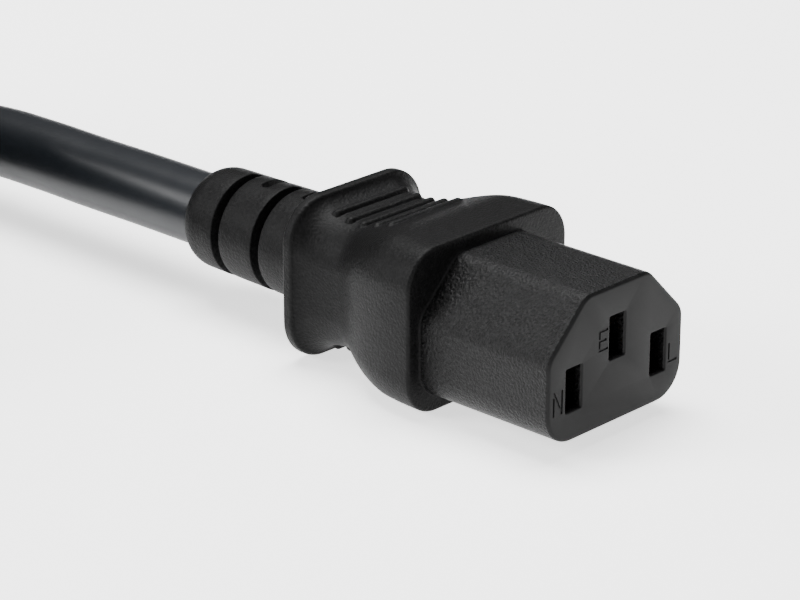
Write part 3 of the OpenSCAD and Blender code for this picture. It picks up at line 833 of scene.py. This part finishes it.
class C13_OT_plug(bpy.types.Operator):
    """Makes the supply plug's moulded body with its slotted neck"""
    bl_idname = "c13.plug"
    bl_label = "Supply plug"

    def execute(self, context):
        scene = context.scene
        w, h = PLUG_HIGH.y - PLUG_LOW.y, PLUG_HIGH.z - PLUG_LOW.z
        neck_r, neck_l, neck_round = 6.25 * MM, 14 * MM, 1.2 * MM
        cuts, first_cut, cut_pitch = 3, 3 * MM, 3.6 * MM
        corner, edge, wall, recess = 6 * MM, 0.6 * MM, 1.2 * MM, 5 * MM
        total = PLUG_HIGH.x - PLUG_LOW.x
        reach = scene.c13_relief.reach
        rings = [lay(0.3 * MM, round_ring(neck_r - 2 * MM, reach))]
        for a in np.radians(np.linspace(90, 0, 7)):
            rings.append(lay(neck_round * (1 - math.sin(a)),
                             round_ring(neck_r - neck_round * (1 - math.cos(a)), reach)))
        for i in range(cuts):
            start = first_cut + i * cut_pitch
            for x, fall in ((-0.1, 0), (0, 0.1), (0.05, 1.3), (0.2, 1.45), (1.1, 1.45),
                            (1.25, 1.3), (1.3, 0.1), (1.4, 0)):
                ring = round_ring(neck_r, reach)
                away = np.abs(ring[:, 1 - i % 2])
                inner = np.minimum(away, neck_r - fall * MM)
                ring[:, 1 - i % 2] = np.sign(ring[:, 1 - i % 2]) * inner
                rings.append(lay(start + x * MM, ring))
        flare = 0.6 * (total - neck_l)
        for t in np.linspace(0, 1, 18):
            s = smooth(t)
            ring = mix(round_ring(neck_r, reach), rounded_ring(w, h, corner), s)
            rings.append(lay(neck_l + flare * t, ring))
        for a in np.radians(np.linspace(0, 90, 7)):
            less = edge * (1 - math.cos(a))
            rings.append(lay(total - edge * (1 - math.sin(a)),
                             rounded_ring(w - 2 * less, h - 2 * less, corner - less)))
        inner = rounded_ring(w - 2 * wall, h - 2 * wall, corner - wall)
        rings.append(lay(total, inner))
        rings.append(lay(total - recess, inner))
        place = (PLUG_LOW.x, PLUG_MIDDLE.y, PLUG_MIDDLE.z)
        finish = bpy.data.materials.get("overmould_pvc") or overmould_finish(scene.c13_finish)
        skin = loft("plug_skin", rings, place, finish)
        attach(skin, "root")
        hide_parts("plug_overmould")
        return {"FINISHED"}


# ---------- pieces that keep their solids ----------


class C13_OT_inner_parts(bpy.types.Operator):
    """Gives the contacts, cores, carrier, tie and blades their finishes"""
    bl_idname = "c13.inner_parts"
    bl_label = "Inner parts"

    def execute(self, context):
        brass = plain_finish("contact_brass", (0.42, 0.3, 0.13), 0.34, 0.3 * MM, 0.003 * MM,
                             Metallic=1.0)
        copper = plain_finish("bare_copper", (0.72, 0.36, 0.2), 0.38, 0.2 * MM, 0.01 * MM,
                              Metallic=1.0)
        nickel = plain_finish("nickel_plate", (0.62, 0.6, 0.56), 0.22, 0.4 * MM, 0.002 * MM,
                              Metallic=1.0)
        nylon = plain_finish("carrier_nylon", (0.62, 0.6, 0.53), 0.5, 0.3 * MM, 0.01 * MM)
        bridge_nylon = plain_finish("bridge_nylon", (0.02, 0.02, 0.021), 0.45, 0.25 * MM,
                                    0.012 * MM)
        finishes = {
            brass: ["line_contact", "neutral_contact", "earth_contact"],
            copper: ["line_conductor", "neutral_conductor", "earth_conductor"],
            nickel: ["plug_line_blade", "plug_neutral_blade", "plug_earth_pin"],
            nylon: ["contact_carrier", "inner_mould"],
            bridge_nylon: ["plug_bridge"],
            cable_finish(context.scene.c13_finish): ["cable_jacket"],
            plain_finish("core_black", (0.02, 0.02, 0.02), 0.35, 0.4 * MM, 0.004 * MM):
                ["line_core"],
            plain_finish("core_white", (0.75, 0.75, 0.72), 0.35, 0.4 * MM, 0.004 * MM):
                ["neutral_core"],
            plain_finish("core_green", (0.03, 0.26, 0.08), 0.35, 0.4 * MM, 0.004 * MM):
                ["earth_core"],
            plain_finish("filler_cotton", (0.7, 0.66, 0.55), 0.9, 0.2 * MM, 0.08 * MM):
                ["filler_cords"],
            tie_finish(): ["coil_tie"],
        }
        for finish, names in finishes.items():
            for name in names:
                node = NODES[name]
                for slot in node.material_slots:
                    slot.material = finish
        for name in ("coil_tie", "plug_bridge", "plug_line_blade", "plug_neutral_blade"):
            soften = NODES[name].modifiers.new("soft_edges", "BEVEL")
            soften.width = 0.2 * MM
            soften.segments = 3
            soften.limit_method = "ANGLE"
            soften.angle_limit = math.radians(40)
        return {"FINISHED"}


# ---------- studio ----------


def soft_box(name, place, aim, width, depth, power):
    """A rectangular light at a place, turned to its aim."""
    light = bpy.data.lights.new(name, "AREA")
    light.shape = "RECTANGLE"
    light.size, light.size_y = width, depth
    light.energy = power
    lamp = bpy.data.objects.new(name, light)
    lamp.location = place
    lamp.rotation_euler = (Vector(aim) - Vector(place)).to_track_quat("-Z", "Y").to_euler()
    bpy.context.scene.collection.objects.link(lamp)


class C13_OT_studio(bpy.types.Operator):
    """Sets the camera, the pale floor and the soft lights"""
    bl_idname = "c13.studio"
    bl_label = "Studio"

    def execute(self, context):
        scene = context.scene
        studio = scene.c13_studio
        az, el = studio.azimuth, studio.elevation
        right = Vector((math.cos(az), math.sin(az), 0))
        back = Vector((math.sin(az) * math.cos(el), -math.cos(az) * math.cos(el), math.sin(el)))
        turn = Matrix((right, back.cross(right), back)).transposed().to_4x4()
        eye = Vector(studio.aim) + back * studio.distance
        camera = bpy.data.objects.new("camera", bpy.data.cameras.new("camera"))
        camera.data.lens = studio.lens
        camera.data.sensor_width = 36
        camera.data.clip_start = 0.01
        camera.matrix_world = Matrix.Translation(eye) @ turn
        scene.collection.objects.link(camera)
        scene.camera = camera

        floor = bmesh.new()
        bmesh.ops.create_grid(floor, x_segments=8, y_segments=8, size=3)
        mesh = bpy.data.meshes.new("studio_floor")
        floor.to_mesh(mesh)
        floor.free()
        paper = Finish("floor_paper", (studio.floor,) * 3, 0.9, Specular_IOR_Level=0.1,
                       Emission_Color=(1, 1, 1, 1), Emission_Strength=1.5)
        paper.bump(paper.noise(2 * MM), 0.01 * MM)
        mesh.materials.append(paper.material)
        plane = bpy.data.objects.new("studio_floor", mesh)
        scene.collection.objects.link(plane)

        world = bpy.data.worlds.new("even_light")
        world.use_nodes = True
        sky = world.node_tree.nodes["Background"]
        sky.inputs["Color"].default_value = (1, 1, 1, 1)
        sky.inputs["Strength"].default_value = studio.sky
        scene.world = world
        aim = (0, 0, 0.01)
        soft_box("top_light", (-0.15, 0.1, 0.7), aim, 0.6, 0.4, 14)
        soft_box("left_light", (-0.45, -0.55, 0.35), aim, 0.35, 0.35, 7)
        soft_box("front_light", (0.6, -0.1, 0.3), aim, 0.4, 0.4, 1.5)
        return {"FINISHED"}


# ---------- add-on ----------

GROUPS = {"c13_housing": C13Housing, "c13_body": C13Body, "c13_relief": C13Relief,
          "c13_cable": C13Cable, "c13_finish": C13Finish, "c13_studio": C13Studio}
STEPS = [C13_OT_studio, C13_OT_overmould, C13_OT_housing, C13_OT_plug, C13_OT_inner_parts,
         C13_OT_cable]


class C13_PT_panel(bpy.types.Panel):
    bl_idname = "C13_PT_panel"
    bl_label = "C13 connector"
    bl_space_type = "VIEW_3D"
    bl_region_type = "UI"
    bl_category = "C13"

    def draw(self, context):
        for group in GROUPS:
            box = self.layout.box()
            box.label(text=group[4:].capitalize())
            settings = getattr(context.scene, group)
            for name in GROUPS[group].__annotations__:
                box.prop(settings, name)
        for step in STEPS:
            self.layout.operator(step.bl_idname)


def register():
    for cls in [*GROUPS.values(), *STEPS, C13_PT_panel]:
        bpy.utils.register_class(cls)
    for name, group in GROUPS.items():
        setattr(bpy.types.Scene, name, PointerProperty(type=group))


def unregister():
    for name in GROUPS:
        delattr(bpy.types.Scene, name)
    for cls in reversed([*GROUPS.values(), *STEPS, C13_PT_panel]):
        bpy.utils.unregister_class(cls)


def main():
    register()
    bpy.ops.c13.studio()
    bpy.ops.c13.overmould()
    bpy.ops.c13.housing()
    bpy.ops.c13.plug()
    bpy.ops.c13.inner_parts()
    bpy.ops.c13.cable()


if __name__ == "__main__":
    main()
